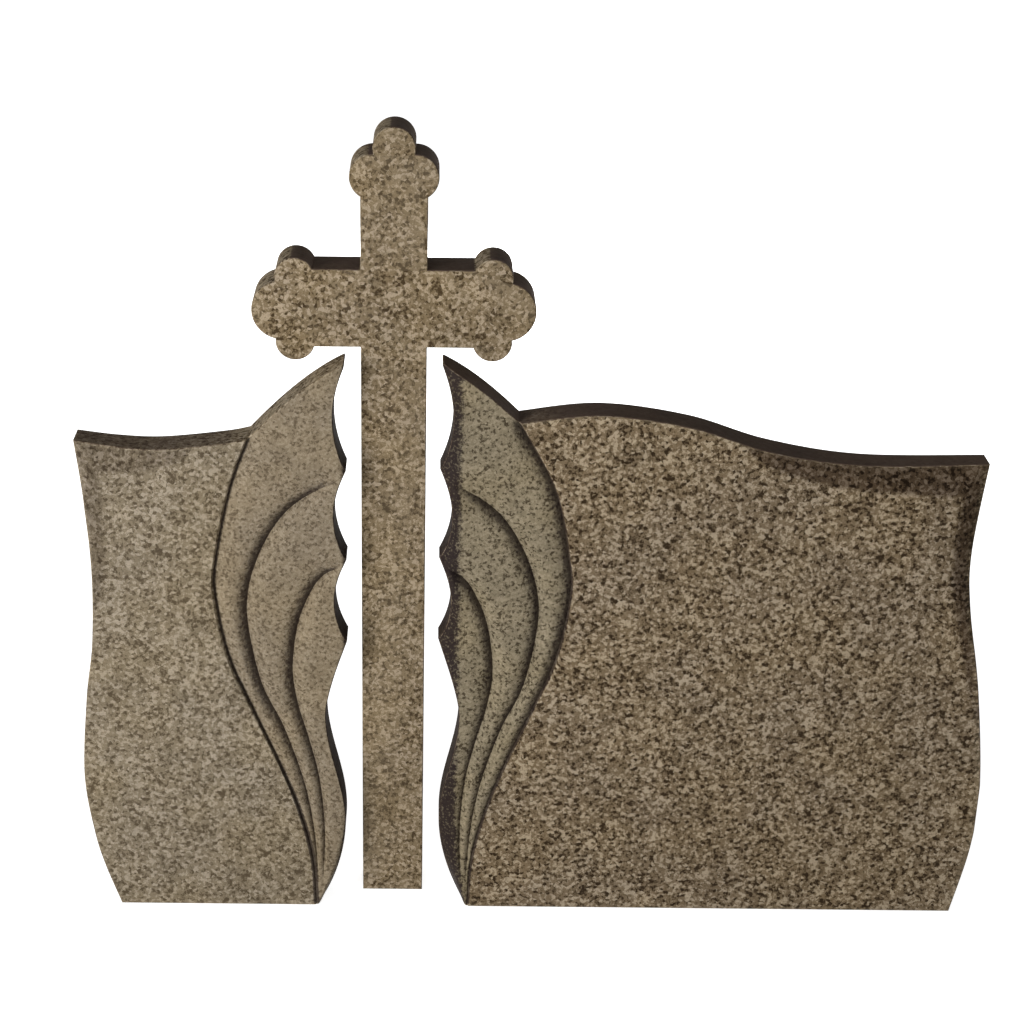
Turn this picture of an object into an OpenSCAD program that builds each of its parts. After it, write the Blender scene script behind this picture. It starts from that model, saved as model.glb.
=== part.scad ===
// Three-piece headstone: a budded cross standing between two winged tablets.
// Everything is in millimetres. +Z is up, the front faces -Y, and the origin is on the
// ground, at the middle of the whole group.

/* [Cross] */
// Width of the shaft
shaft_w = 104; // [70:1:150]
// Thickness of the cross, front to back
cross_t = 70; // [50:1:100]
// Length of the cross bar from end to end
arm_span = 446; // [380:1:560]
// Height of the cross bar
arm_h = 127; // [100:1:160]
// Height of the head above the cross bar
head_h = 224; // [190:1:280]
// Radius of the large bud at each end of the bar
end_bud_r = 48; // [38:1:60]
// Radius of the small buds above and below each end of the bar
side_bud_r = 31; // [24:1:38]
// Radius of the bud at the top of the head
head_bud_r = 33; // [26:1:42]
// Radius of the two buds at the sides of the head
cheek_bud_r = 36; // [28:1:46]

/* [Wings] */
// Height of the wing tips above the ground
wing_h = 1000; // [800:5:1250]
// Width of a wing, from its feather tips to the widest place of its outer groove
wing_w = 215; // [170:1:270]
// Depth of the bays between the feather tips
scallop_d = 20; // [10:1:30]
// Depth of the furrow between two feathers
furrow_d = 12; // [6:1:18]
// Width of the rounding on each side of a furrow
furrow_w = 24; // [14:1:32]
// Depth of the groove between wing and panel
groove_d = 10; // [5:1:16]

/* [Left tablet] */
// Width of the left tablet, from its feather tips to its widest place
left_w = 447; // [400:1:600]
// Height of the outer top corner of the left tablet
left_h = 866; // [780:1:980]
// Height that the left tablet's top edge dips below its corner
left_dip = 10; // [0:1:40]
// Width of the roll-over along the left wing's inner edge
left_roll_w = 12; // [6:1:45]
// Depth of the roll-over at the left wing's feather tips
left_roll_d = 10; // [5:1:35]

/* [Right tablet] */
// Width of the right tablet, from its feather tips to its widest place
right_w = 923; // [700:1:1200]
// Height of the outer top corner of the right tablet
right_h = 838; // [740:1:900]
// Height of the crest of the right tablet's top edge
crest_h = 921; // [880:1:1000]
// Width of the roll-over along the right wing's inner edge
right_roll_w = 36; // [6:1:45]
// Depth of the roll-over at the right wing's feather tips
right_roll_d = 26; // [5:1:35]

/* [Setting] */
// Thickness of both tablets
slab_t = 60; // [45:1:90]
// Space between the shaft and the nearest feather tips
side_gap = 23; // [10:1:60]
// Distance of the cross's front behind the fronts of the tablets
set_back = 50; // [20:1:100]
// Space between the wing tips and the underside of the cross bar
arm_gap = 13; // [8:1:60]

/* [Hidden] */
$fn = 64;

// Where things stand: x is measured outward from the middle of the shaft
tip_x = shaft_w / 2 + side_gap;
arm_z = wing_h + arm_gap;
depth = max(slab_t, set_back + cross_t);
shift_x = (left_w - right_w) / 2;
// Where the buds' centres lie
cheek_drop = 45;
cheek_in = 19;
end_drop = 4;
side_bud_in = 20;
side_bud_drop = 13;
side_bud_lift = 9;
stone = "#9b9283";
stone_dark = "#8d8170";
// How far the cutting shapes stand out in front of the stone, and past its edges
over = 6;
below_ground = 0.01;
groove_lead = 0.3;

// Curves of the wing, as shares of its width outward and of its height upward
tip_shares = [0.82, 0.664, 0.516];
wing_top = [[0.014, 1], [0.33, 0.966], [0.716, 0.875]];
groove_line = [[0.86, 0.79], [0.98, 0.67], [1, 0.60], [0.91, 0.487], [0.73, 0.385],
               [0.55, 0.29], [0.40, 0.20], [0.29, 0.10], [0.262, 0]];
furrow_lines = [
    [[-0.03, 0.81], [0.21, 0.785], [0.465, 0.74], [0.647, 0.674], [0.75, 0.60], [0.75, 0.53],
     [0.66, 0.43], [0.50, 0.35], [0.36, 0.255], [0.285, 0.17], [0.25, 0.08], [0.244, 0]],
    [[-0.03, 0.66], [0.17, 0.632], [0.28, 0.597], [0.375, 0.54], [0.42, 0.46], [0.385, 0.395],
     [0.30, 0.325], [0.225, 0.25], [0.19, 0.16], [0.2, 0.07], [0.228, 0]]
];
waist = [0.17, 0.382];
belly = [0.021, 0.17];
foot = [0.21, 0];
// Share of the wing's top edge after which the tablet's own top edge takes over
left_shoulder = 1;
right_shoulder = 0.82;

// Outer edges: distance in from the widest place, and share of the corner's height
left_side = [[15, 1], [27, 0.88], [33, 0.74], [27, 0.59], [12, 0.47], [0, 0.30], [11, 0.17],
             [26, 0.09], [51, 0]];
right_side = [[48, 1], [61, 0.82], [53, 0.70], [23, 0.515], [0, 0.30], [3, 0.155], [26, 0]];
// Top edges: share of the way from shoulder to corner, and share of the dip or the crest
left_top = [[0.14, 0.1], [0.5, -1], [0.76, -0.8], [1, 0]];
right_top = [[0.17, 1], [0.36, 0.77], [0.53, 0.29], [0.73, 0], [1, 0]];

// Chamfers at the outer top corners: width along the top edge, at the corner and down the side
chamfer_slope = 0.4;
chamfer_lift = 3;
chamfer_fade = 0.8;
left_chamfer = 30;
right_chamfer = 44;
left_chamfer_run = [0.55, 0.86];
right_chamfer_run = [0.56, 0.60];

// A smooth curve through the points p, with n steps between neighbours
function tangent(p, i) = (p[min(i + 1, len(p) - 1)] - p[max(i - 1, 0)]) / 2;
function blend(a, b, ta, tb, t) =
    a * (2 * t ^ 3 - 3 * t ^ 2 + 1) + ta * (t ^ 3 - 2 * t ^ 2 + t)
    + b * (3 * t ^ 2 - 2 * t ^ 3) + tb * (t ^ 3 - t ^ 2);
function smooth(p, n) = [
    for (i = [0 : len(p) - 2], k = [0 : n - 1])
        blend(p[i], p[i + 1], tangent(p, i), tangent(p, i + 1), k / n),
    p[len(p) - 1]
];
function reversed(p) = [for (i = [len(p) - 1 : -1 : 0]) p[i]];

// Places on a wing: shares of its width and height to millimetres
function on_wing(s) = [tip_x + s[0] * wing_w, s[1] * wing_h];
function wing_points(shares) = [for (s = shares) on_wing(s)];
function arch(p, t) = p[0] * (1 - t) ^ 2 + p[1] * 2 * t * (1 - t) + p[2] * t ^ 2;
function on_wing_top(t) = arch(wing_points(wing_top), t);

// Inner edge of a wing, from the wing tip down to the foot
function bay(z0, z1, n) = [
    for (k = [1 : n])
        let (t = 2 * k / n - 1)
        [tip_x + scallop_d * (1 - t * t), z0 + (z1 - z0) * k / n]
];
function ease(a, b, n) = [
    for (k = [1 : n])
        let (s = (1 - cos(180 * k / n)) / 2)
        [a[0] + (b[0] - a[0]) * s, a[1] + (b[1] - a[1]) * k / n]
];
function run_out(a, b, power, n) = [
    for (k = [1 : n])
        [a[0] + (b[0] - a[0]) * (k / n) ^ power, a[1] + (b[1] - a[1]) * k / n]
];
function run_in(a, b, power, n) = reversed([
    for (k = [0 : n - 1])
        [b[0] + (a[0] - b[0]) * (k / n) ^ power, b[1] + (a[1] - b[1]) * k / n]
]);
function inner_edge() = concat(
    [for (i = [0 : len(tip_shares) - 1])
        let (above = i == 0 ? 1 : tip_shares[i - 1])
        each bay(above * wing_h, tip_shares[i] * wing_h, 10)],
    run_in(on_wing([0, tip_shares[2]]), on_wing(waist), 1.4, 10),
    ease(on_wing(waist), on_wing(belly), 12),
    run_out(on_wing(belly), on_wing(foot), 1.8, 10)
);

// Top edge of a tablet, from its shoulder to its outer corner, without the shoulder
function top_edge(start, corner, rise, shares) = [
    for (s = shares) [start[0] + (corner[0] - start[0]) * s[0], corner[1] + rise * s[1]]
];
function side_edge(w, h, side) = [for (s = side) [tip_x + w - s[0], s[1] * h]];
function outer_path(w, h, shoulder, rise, top, side) =
    let (start = on_wing_top(shoulder))
    let (edge = side_edge(w, h, side))
    [smooth(concat([start], top_edge(start, edge[0], rise, top)), 6),
     [for (p = smooth(edge, 5)) [min(p[0], tip_x + w), p[1]]]];
function tablet_outline(path, shoulder) = concat(
    [for (k = [0 : 9]) on_wing_top(shoulder * k / 10)],
    path[0],
    [for (i = [1 : len(path[1]) - 1]) path[1][i]],
    reversed(inner_edge())
);

// Direction across a path in the plane of the front face, at its point i
function across(p, i) =
    let (d = p[min(i + 1, len(p) - 1)] - p[max(i - 1, 0)])
    [-d[1], d[0]] / norm(d);

// A closed solid through rings of points, all with the same number of points
module through_rings(rings) {
    n = len(rings[0]);
    m = len(rings);
    walls = [
        for (i = [0 : m - 2], j = [0 : n - 1])
            let (a = i * n + j, b = i * n + (j + 1) % n)
            each [[a, b + n, b], [a, a + n, b + n]]
    ];
    caps = [[for (j = [0 : n - 1]) j], [for (j = [n - 1 : -1 : 0]) (m - 1) * n + j]];
    polyhedron([for (r = rings) each r], concat(walls, caps));
}

// A furrow along a path: shares of its width to each side, and shares of its depth
furrow_profile = [[-1, -0.05], [-0.7, 0.1], [-0.4, 0.32], [-0.15, 0.66], [0, 1], [0.15, 0.66],
                  [0.4, 0.32], [0.7, 0.1], [1, -0.05]];
groove_profile = [[-1, -0.05], [-0.7, 0.1], [-0.4, 0.32], [-0.15, 0.66], [0, 1], [0.12, 0.9],
                  [0.2, -0.05]];
// Furrows grow narrower and shallower towards the foot, where the feathers meet
function narrowing(z) = min(1, 0.08 + 2 * z / wing_h);
function shallowing(z) = min(1, 0.25 + 1.6 * z / wing_h);
function furrow_ring(c, n, w, d, profile) = concat(
    [for (q = profile) [c[0] + n[0] * q[0] * w, q[1] * d, c[1] + n[1] * q[0] * w]],
    [for (q = [profile[len(profile) - 1], profile[0]])
        [c[0] + n[0] * q[0] * w, -over, c[1] + n[1] * q[0] * w]]
);
// A smooth path from just below the ground up through the points p, which run downwards
function cutting_path(p) =
    reversed(smooth(concat(p, [p[len(p) - 1] - [0, below_ground * wing_h]]), 3));
module furrow(path, w, d, profile) {
    through_rings([
        for (i = [0 : len(path) - 1])
            furrow_ring(path[i], across(path, i), w * narrowing(path[i][1]),
                        d * shallowing(path[i][1]), profile)
    ]);
}

// The wing's roll-over along its inner edge, and round the foot
// At the foot the roll-over starts foot_roll[0] outward of the foot's corner, foot_roll[1] deep
foot_roll = [12, 60];
foot_rise = 0.2;
roll_steps = 24;
// Shares of the way across the roll-over; the curve is part of an ellipse cut off at its side
roll_shares = [0.3, 0.55, 0.75, 0.9, 1.05];
ellipse_w = 1.1;
ellipse_d = 1.4;
roll_end_d = 1.3;
roll_spare = 20;
function foot_share(z) = max(0, 1 - z / (foot_rise * wing_h)) ^ 2;
function roll_start(z, w) =
    tip_x + w + (on_wing(foot)[0] + foot_roll[0] - tip_x - w) * foot_share(z);
function roll_end(z) = tip_x + (on_wing(foot)[0] - tip_x) * foot_share(z);
function roll_depth(z, d) = d + (foot_roll[1] - d) * foot_share(z);
function roll_curve(t) = ellipse_d * (1 - sqrt(1 - (t / ellipse_w) ^ 2));
module roll_over(w, d) {
    last = roll_shares[len(roll_shares) - 1];
    through_rings([
        for (i = [0 : roll_steps])
            let (z = -1 + (wing_h + 2) * (i / roll_steps) ^ 1.6)
            let (x0 = roll_start(z, w), reach = x0 - roll_end(z), dz = roll_depth(z, d))
            let (x_end = x0 - reach * last - roll_spare)
            concat(
                [[x0 + 4, -over, z], [x0 + 1, -0.2, z]],
                [for (t = roll_shares) [x0 - reach * t, dz * roll_curve(t), z]],
                [[x_end, dz * roll_end_d, z], [x_end, -over, z]]
            )
    ]);
}

// Chamfer round the outer top corner: 0 wide at both ends and full at the corner
function share_of(z, a, b) = min(1, max(0, (z - a) / (b - a)));
module corner_chamfer(path, w, run) {
    top = path[0];
    side = path[1];
    corner = side[0];
    x_start = top[0][0] + run[0] * (corner[0] - top[0][0]);
    rim = concat(
        [for (p = top) if (p[0] > x_start && p[0] < corner[0] - w)
            [p, [0, -1], w * share_of(p[0], x_start, corner[0]) ^ chamfer_fade]],
        [[corner, [-1, -1], w]],
        [for (p = side) if (p[1] > run[1] * corner[1] && p[1] < corner[1] - w)
            [p, [-1, 0], w * share_of(p[1], run[1] * corner[1], corner[1]) ^ chamfer_fade]]
    );
    through_rings([
        for (r = rim)
            let (p = r[0], n = r[1], a = p + n * r[2], b = p - n * over)
            let (low = (r[2] + over) * chamfer_slope - chamfer_lift)
            [[a[0], -over, a[1]], [a[0], -0.3, a[1]], [b[0], low, b[1]], [b[0], -over, b[1]]]
    ]);
}

// A tablet with its wing, as seen from the front, extending outward in +X
module tablet(path, shoulder, roll_w, roll_d, chamfer, chamfer_run) {
    start = on_wing_top(shoulder);
    lead = start + (start - on_wing(groove_line[0])) * groove_lead;
    difference() {
        translate([0, slab_t, 0])
            rotate([90, 0, 0])
            linear_extrude(slab_t)
            polygon(tablet_outline(path, shoulder));
        furrow(cutting_path(concat([lead, start], wing_points(groove_line))),
               furrow_w, groove_d, groove_profile);
        for (line = furrow_lines)
            furrow(cutting_path(wing_points(line)), furrow_w, furrow_d, furrow_profile);
        roll_over(roll_w, roll_d);
        corner_chamfer(path, chamfer, chamfer_run);
    }
}

// The budded cross: a plain shaft and bar with round buds at the three free ends
module cross_outline() {
    top_z = arm_z + arm_h;
    end_x = arm_span / 2 - end_bud_r;
    head_z = top_z + head_h - head_bud_r;
    cheek_z = head_z - cheek_drop;
    translate([-shaft_w / 2, 0])
        square([shaft_w, cheek_z]);
    translate([-end_x, arm_z])
        square([2 * end_x, arm_h]);
    translate([0, head_z])
        circle(head_bud_r);
    for (side = [-1, 1]) {
        translate([side * (shaft_w / 2 - cheek_in), cheek_z])
            circle(cheek_bud_r);
        translate([side * end_x, arm_z + arm_h / 2 - end_drop])
            circle(end_bud_r);
        translate([side * (end_x - side_bud_in), top_z - side_bud_drop])
            circle(side_bud_r);
        translate([side * (end_x - side_bud_in), arm_z + side_bud_lift])
            circle(side_bud_r);
    }
}

module in_place(x = 0, y = 0) {
    translate([shift_x + x, y - depth / 2, 0])
        children();
}

module left_tablet() {
    path = outer_path(left_w, left_h, left_shoulder, left_dip, left_top, left_side);
    color(stone)
        in_place()
        mirror([1, 0, 0])
        tablet(path, left_shoulder, left_roll_w, left_roll_d, left_chamfer, left_chamfer_run);
}

module cross() {
    color(stone)
        in_place(0, set_back + cross_t)
        rotate([90, 0, 0])
        linear_extrude(cross_t)
        cross_outline();
}

module right_tablet() {
    path = outer_path(right_w, right_h, right_shoulder, crest_h - right_h, right_top, right_side);
    color(stone_dark)
        in_place()
        tablet(path, right_shoulder, right_roll_w, right_roll_d, right_chamfer, right_chamfer_run);
}

left_tablet();
cross();
right_tablet();
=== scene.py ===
"""A three-piece granite headstone: a budded cross standing between two winged tablets.

Outlines are worked out in the plane of the fronts, as x measured outward from the middle of the
shaft and z up from the ground. A tablet's front is a sheet of four-sided patches, laid between
the feather lines, and its depth behind the front plane is a sum of furrows, groove, roll-over
and chamfers. All lengths are metres.
"""

import math

import bmesh
import bpy
import numpy as np
from mathutils import Matrix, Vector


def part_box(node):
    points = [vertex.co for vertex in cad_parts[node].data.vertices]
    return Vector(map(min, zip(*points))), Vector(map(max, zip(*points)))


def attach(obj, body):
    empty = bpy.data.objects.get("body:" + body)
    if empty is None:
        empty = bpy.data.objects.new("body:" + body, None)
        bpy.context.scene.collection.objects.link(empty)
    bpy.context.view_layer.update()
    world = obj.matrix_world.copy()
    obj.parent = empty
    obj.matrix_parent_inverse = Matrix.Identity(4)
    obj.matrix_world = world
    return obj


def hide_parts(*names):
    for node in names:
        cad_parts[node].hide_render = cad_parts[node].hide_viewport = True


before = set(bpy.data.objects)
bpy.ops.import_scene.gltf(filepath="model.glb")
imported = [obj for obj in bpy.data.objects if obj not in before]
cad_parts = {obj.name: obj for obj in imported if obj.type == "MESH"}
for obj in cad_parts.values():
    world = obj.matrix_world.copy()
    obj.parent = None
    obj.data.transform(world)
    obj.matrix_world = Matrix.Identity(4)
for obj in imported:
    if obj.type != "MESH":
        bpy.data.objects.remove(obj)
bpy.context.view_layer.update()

# ---------------------------------------------------------------- places, from the frame
left_lo, left_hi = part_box("left_tablet")
cross_lo, cross_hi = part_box("cross")
right_lo, right_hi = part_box("right_tablet")

middle_x = (cross_lo.x + cross_hi.x) / 2
front_y = right_lo.y
slab_t = right_hi.y - right_lo.y
tip_x = right_lo.x - middle_x
wing_h = right_hi.z
left_w = left_hi.x - left_lo.x
right_w = right_hi.x - right_lo.x

# ---------------------------------------------------------------- sizes of the work
wing_w = 0.215
scallop_d = 0.020
arris = 0.0014

# the cross, and where its buds' centres lie
shaft_w = 0.104
arm_gap = 0.013
bar_z = wing_h + arm_gap
bar_h = 0.127
end_bud_r = 0.048
side_bud_r = 0.031
head_bud_r = 0.033
cheek_bud_r = 0.036
cheek_drop = 0.045
cheek_in = 0.019
end_drop = 0.004
side_bud_in = 0.020
side_bud_drop = 0.013
side_bud_lift = 0.009

# furrows between the feathers: they rise to nothing towards the inner edge over outer_fade and
# inner_fade, and above the ground between the two heights of furrow_end
furrow_d = 0.014
feather_round = 0.034
outer_fade = 0.085
inner_fade = 0.040
furrow_end = (0.03, 0.11)

# groove between the wing and the panel, steep on the panel's side
groove_d = 0.010
groove_wall = 0.005
groove_lead = 0.3
below_ground = 0.01

# curves of the wing, as shares of its width outward and of its height upward
tip_shares = (0.82, 0.664, 0.516)
wing_top = ((0.014, 1), (0.33, 0.966), (0.716, 0.875))
groove_line = (
    (0.86, 0.79), (0.98, 0.67), (1, 0.60), (0.91, 0.487), (0.73, 0.385),
    (0.55, 0.29), (0.40, 0.20), (0.29, 0.10), (0.262, 0),
)
outer_furrow = (
    (-0.03, 0.81), (0.21, 0.785), (0.465, 0.74), (0.647, 0.674), (0.75, 0.60), (0.75, 0.53),
    (0.66, 0.43), (0.50, 0.35), (0.36, 0.255), (0.285, 0.17), (0.25, 0.08), (0.244, 0),
)
inner_furrow = (
    (-0.03, 0.66), (0.17, 0.632), (0.28, 0.597), (0.375, 0.54), (0.42, 0.46), (0.385, 0.395),
    (0.30, 0.325), (0.225, 0.25), (0.19, 0.16), (0.20, 0.07), (0.228, 0),
)
waist = (0.17, 0.382)
belly = (0.021, 0.17)
foot = (0.21, 0)

# at the foot the roll-over starts this far outward of the foot's corner, and goes this deep
foot_roll = (0.012, 0.060)

# chamfer at the outer top corner, and the band of painted shade along it: its widths at the
# corner, how much further it starts than the chamfer, and how softly it ends
chamfer_slope = 0.40
chamfer_fade = 0.8
band_top = 0.058
band_side = 0.045
band_lead = 0.06
band_low = 0.75
band_fade = 0.015
# width of the painted shade that lies along a feather's flank
flank_shade_w = 0.031

# "side" is distance in from the widest place, and share of the corner's height; "top" is share of
# the way to the corner, and share of the rise; "crowd" is the power that crowds the panel's faces
# towards the groove. The "dark" values place and weigh the painted shade on the roll, the chamfer's
# band, the walls and the groove's line. The last entry says which line (0 inner furrow, 1 outer
# furrow, 2 groove) has painted shade beside it on which feather (0 is innermost).
LEFT = {
    "name": "left_stone", "hand": -1, "width": left_w, "height": 0.866,
    "shoulder": 1.0, "rise": 0.010, "roll_w": 0.012, "roll_d": 0.010,
    "side": ((0.015, 1), (0.027, 0.88), (0.033, 0.74), (0.027, 0.59), (0.012, 0.47), (0, 0.30),
             (0.011, 0.17), (0.026, 0.09), (0.051, 0)),
    "top": ((0.14, 0.1), (0.5, -1), (0.76, -0.8), (1, 0)),
    "chamfer": 0.030, "chamfer_run": (0.55, 0.86), "crowd": 1.5,
    "dark_roll": 0.8, "dark_from": -0.004, "dark_fade": 0.006, "dark_chamfer": 0.5,
    "dark_top": 0.5, "dark_inner": 2.0, "dark_foot": 0.7, "shaded_flanks": {2: 1, 1: 0},
}
RIGHT = {
    "name": "right_stone", "hand": 1, "width": right_w, "height": 0.838,
    "shoulder": 0.82, "rise": 0.083, "roll_w": 0.036, "roll_d": 0.026,
    "side": ((0.048, 1), (0.061, 0.82), (0.053, 0.70), (0.023, 0.515), (0, 0.30),
             (0.003, 0.155), (0.026, 0)),
    "top": ((0.17, 1), (0.36, 0.77), (0.53, 0.29), (0.73, 0), (1, 0)),
    "chamfer": 0.044, "chamfer_run": (0.56, 0.60), "crowd": 1.7,
    "dark_roll": 1.0, "dark_from": 0.008, "dark_fade": 0.026, "dark_chamfer": 1.0,
    "dark_top": 1.0, "dark_inner": 2.0, "dark_foot": 0.2, "shaded_flanks": {2: 2, 1: 1, 0: 0},
}


# ---------------------------------------------------------------- curves
def smooth_curve(points, per_span):
    """Hermite curve through the points: each tangent is half the step between the neighbours."""
    p = np.asarray(points, float)
    after = np.vstack([p[1:], p[-1:]])
    before = np.vstack([p[:1], p[:-1]])
    tangent = (after - before) / 2
    t = (np.arange(per_span) / per_span)[None, :, None]
    a, b, ta, tb = p[:-1, None], p[1:, None], tangent[:-1, None], tangent[1:, None]
    spans = (
        a * (2 * t**3 - 3 * t**2 + 1) + ta * (t**3 - 2 * t**2 + t)
        + b * (3 * t**2 - 2 * t**3) + tb * (t**3 - t**2)
    )
    return np.vstack([spans.reshape(-1, 2), p[-1:]])


def spaced(path, share):
    """Points at the given shares of the path's length."""
    step = np.hypot(*np.diff(path, axis=0).T)
    run = np.concatenate([[0], np.cumsum(step)])
    at = np.asarray(share) * run[-1]
    return np.column_stack([np.interp(at, run, path[:, 0]), np.interp(at, run, path[:, 1])])


def on_wing(shares):
    """Shares of the wing's width and height, as x and z."""
    s = np.atleast_2d(np.asarray(shares, float))
    return np.column_stack([tip_x + s[:, 0] * wing_w, s[:, 1] * wing_h])


def run_on(shares):
    """A line of the wing, as x and z, carried straight on a little below the ground."""
    return on_wing((*shares, (shares[-1][0], -below_ground)))


def wing_top_curve(end, n=60):
    """Quadratic arch from the wing tip towards the shoulder, up to the share `end` of it."""
    p = on_wing(wing_top)
    t = np.linspace(0, end, n)[:, None]
    return p[0] * (1 - t) ** 2 + p[1] * 2 * t * (1 - t) + p[2] * t**2


def inner_edge():
    """Foot to wing tip: a run-out, two easings and three bays, each a parabola between tips."""
    foot_p, belly_p, waist_p = (on_wing(p)[0] for p in (foot, belly, waist))
    last_tip = on_wing((0, tip_shares[2]))[0]
    t = np.linspace(0, 1, 60)
    low = np.column_stack([
        belly_p[0] + (foot_p[0] - belly_p[0]) * (1 - t) ** 1.8,
        foot_p[1] + (belly_p[1] - foot_p[1]) * t,
    ])
    rise = np.column_stack([
        belly_p[0] + (waist_p[0] - belly_p[0]) * (1 - np.cos(math.pi * t)) / 2,
        belly_p[1] + (waist_p[1] - belly_p[1]) * t,
    ])
    reach = np.column_stack([
        waist_p[0] + (last_tip[0] - waist_p[0]) * t**1.4,
        waist_p[1] + (last_tip[1] - waist_p[1]) * t,
    ])
    levels = [tip_shares[2], tip_shares[1], tip_shares[0], 1.0]
    bays = [
        np.column_stack([
            tip_x + scallop_d * (1 - (2 * t - 1) ** 2),
            wing_h * (a + (b - a) * t),
        ])
        for a, b in zip(levels[:-1], levels[1:])
    ]
    bays[-1][-1] = on_wing(wing_top[0])[0]
    return np.vstack([low, rise[1:], reach[1:]] + [bay[1:] for bay in bays])


def cut_at_edge(line, edge):
    """The part of a line, listed from the top, that lies on the stone below the inner edge."""
    edge_x = np.interp(line[:, 1], edge[:, 1], edge[:, 0])
    first = int(np.argmax(line[:, 0] > edge_x))
    a, b = line[first - 1], line[first]
    ga, gb = a[0] - edge_x[first - 1], b[0] - edge_x[first]
    crossing = a + (b - a) * ga / (ga - gb)
    crossing[0] = np.interp(crossing[1], edge[:, 1], edge[:, 0])
    return np.vstack([crossing, line[first:]])


def part_of(path, z0, z1):
    """The part of a rising path between two heights."""
    ends = [np.array([[np.interp(z, path[:, 1], path[:, 0]), z]]) for z in (z0, z1)]
    between = path[(path[:, 1] > z0 + 1e-7) & (path[:, 1] < z1 - 1e-7)]
    return np.vstack([ends[0], between, ends[1]])


def share_at(path, z):
    """The share of a rising path's length that lies below the height z."""
    step = np.hypot(*np.diff(path, axis=0).T)
    run = np.concatenate([[0], np.cumsum(step)])
    return float(np.interp(z, path[:, 1], run) / run[-1])


def snapped(shares, marks):
    """Shares with the nearest one moved onto each mark, so that a row meets every tip."""
    shares = shares.copy()
    for mark in marks:
        shares[1:-1][np.argmin(np.abs(shares[1:-1] - mark))] = mark
    return shares


def crowded(n, amount=0.8):
    """Shares from 0 to 1, closer together at both ends: t - amount sin(2 pi t) / (2 pi)."""
    t = np.linspace(0, 1, n)
    return t - amount * np.sin(2 * math.pi * t) / (2 * math.pi)


def patch(left, right, bottom, top, u, v):
    """Four-sided patch: the two ruled sheets between opposite sides, less their corners."""
    u, v = u[None, :, None], v[:, None, None]
    corners = (
        (1 - u) * (1 - v) * bottom[0] + u * (1 - v) * bottom[-1]
        + (1 - u) * v * top[0] + u * v * top[-1]
    )
    return (
        (1 - u) * left[:, None] + u * right[:, None]
        + (1 - v) * bottom[None] + v * top[None] - corners
    )


def moved_ends(line, bottom, top, v):
    """A line whose two ends are moved to new places, with the move spread evenly along it."""
    v = v[:, None]
    return line + (bottom - line[0]) * (1 - v) + (top - line[-1]) * v


def distance(points, path):
    """Shortest distance from each point to a path of straight steps."""
    a, b = path[:-1], path[1:]
    d = b - a
    flat = points.reshape(-1, 2)
    best = np.full(len(flat), 1e9)
    for start in range(0, len(a), 64):
        s, e = a[start:start + 64], d[start:start + 64]
        t = ((flat[:, None] - s) * e).sum(2) / np.maximum((e * e).sum(1), 1e-18)
        near = s + np.clip(t, 0, 1)[..., None] * e
        best = np.minimum(best, np.hypot(*(flat[:, None] - near).transpose(2, 0, 1)).min(1))
    return best.reshape(points.shape[:-1])


def ramp(x, a, b):
    """0 at a, 1 at b, with a smooth step between."""
    t = np.clip((x - a) / (b - a), 0, 1)
    return t * t * (3 - 2 * t)


# ---------------------------------------------------------------- depth of the carving
def narrowing(z):
    """Width of furrows and groove, less near the ground: 0.08 + 2 z / wing height, up to 1."""
    return np.minimum(1, 0.08 + 2 * z / wing_h)


def shallowing(z):
    """Depth of furrows and groove, less near the ground: 0.25 + 1.6 z / wing height, up to 1."""
    return np.minimum(1, 0.25 + 1.6 * z / wing_h)


def furrow_depth(points, line, depth, width, fade):
    """Rounded shoulders that meet in a sharp furrow, depth (1 - distance / width)^2.8.

    The furrow rises to nothing over the length `fade` before the inner edge, and again just
    above the ground, where the feathers run together.
    """
    x, z = points[..., 0], points[..., 1]
    s = np.clip(1 - distance(points, line) / (width * narrowing(z)), 0, 1)
    top_z = line[-1, 1]
    away_from_edge = 1 - ramp(x - tip_x, fade, 0) * ramp(z, top_z - 0.16, top_z - 0.08)
    return depth * shallowing(z) * s**2.8 * away_from_edge * ramp(z, *furrow_end)


def roll_depth(points, roll_w, roll_d):
    """A quarter-round towards the inner edge, which grows wider and deeper at the foot.

    Depth is 1.4 d (1 - sqrt(1 - (t / 1.1)^2)), with t running from 0 at the start to 1 at the
    edge. Below a fifth of the wing's height, start, end and depth d go over to the foot's own.
    """
    x, z = points[..., 0], points[..., 1]
    low = np.clip(1 - z / (0.2 * wing_h), 0, 1) ** 2
    foot_x = on_wing(foot)[0][0]
    start = tip_x + roll_w
    start = start + (foot_x + foot_roll[0] - start) * low
    end = tip_x + (foot_x - tip_x) * low
    depth = roll_d + (foot_roll[1] - roll_d) * low
    t = np.clip((start - x) / (start - end), 0, 1.05)
    return 1.4 * depth * (1 - np.sqrt(1 - (t / 1.1) ** 2)), start


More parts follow.
